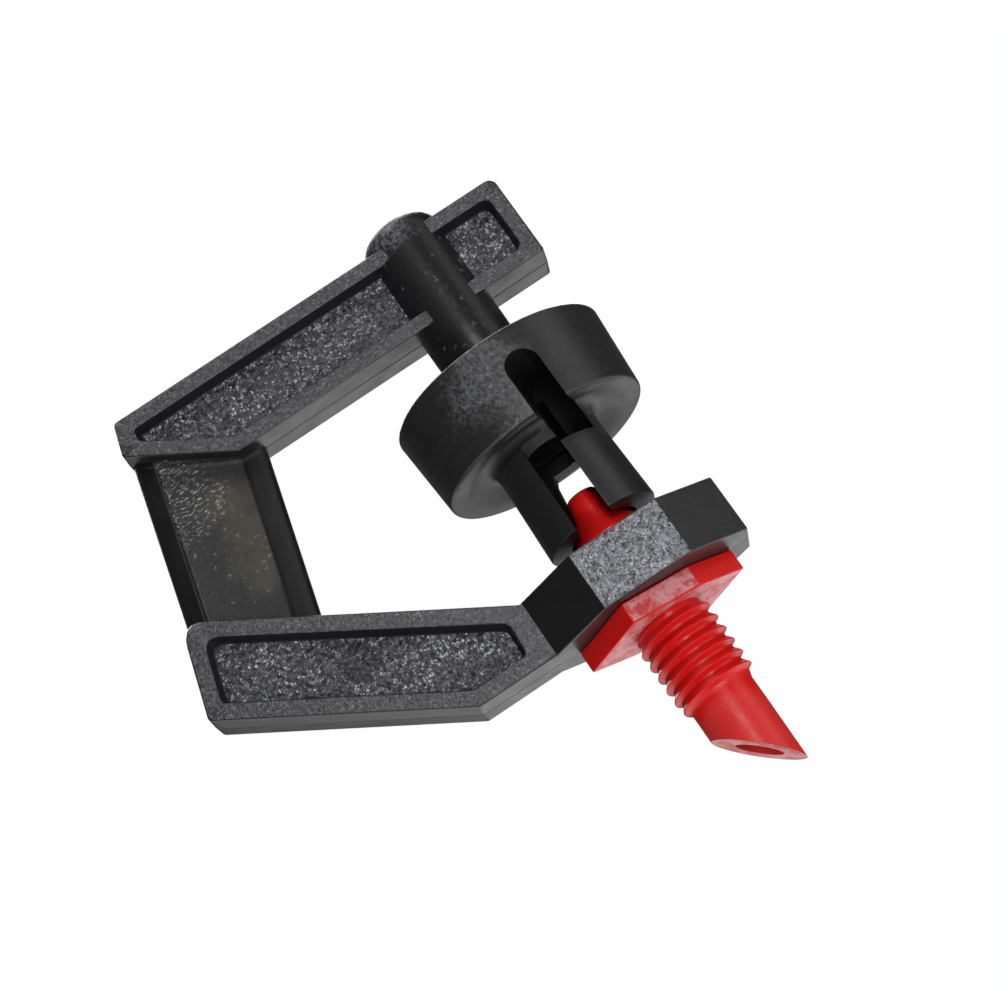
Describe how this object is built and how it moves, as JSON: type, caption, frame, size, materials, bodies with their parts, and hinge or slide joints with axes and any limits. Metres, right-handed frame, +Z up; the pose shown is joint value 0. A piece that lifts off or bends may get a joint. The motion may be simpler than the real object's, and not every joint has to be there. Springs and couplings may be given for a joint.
{
  "type": "bridge micro-sprinkler",
  "caption": "Rotary micro-sprinkler: a black one-sided bridge over a red punch nozzle, with a slotted drum that the jet spins.",
  "frame": {"origin": "centre of the underside of the nozzle's flange, where the thread starts", "axes": "+Z up along the jet, X in the plane of the bridge with its spine at -X and the finger tab at +X"},
  "size_m": [0.0301, 0.0132, 0.0386],
  "materials": {
    "bridge_black": "spark-eroded grain on the faces, satin on the edges",
    "rotor_black": "satin, part grained",
    "nozzle_red": "satin gloss",
    "axle_steel": "drawn wire"
  },
  "bodies": {
    "frame": {"bridge_frame": "bridge_black", "nozzle": "nozzle_red"},
    "lift": {"axle_pin": "axle_steel"},
    "rotor": {"rotor": "rotor_black"}
  },
  "joints": [
    {"name": "rotor_lift", "type": "slide", "parent": "frame", "child": "lift", "axis": [0, 0, 1], "range_m": [0, 0.001]},
    {"name": "rotor_spin", "type": "hinge", "parent": "lift", "child": "rotor", "pos_m": [0, 0, 0.0143], "axis": [0, 0, 1], "continuous": true}
  ]
}
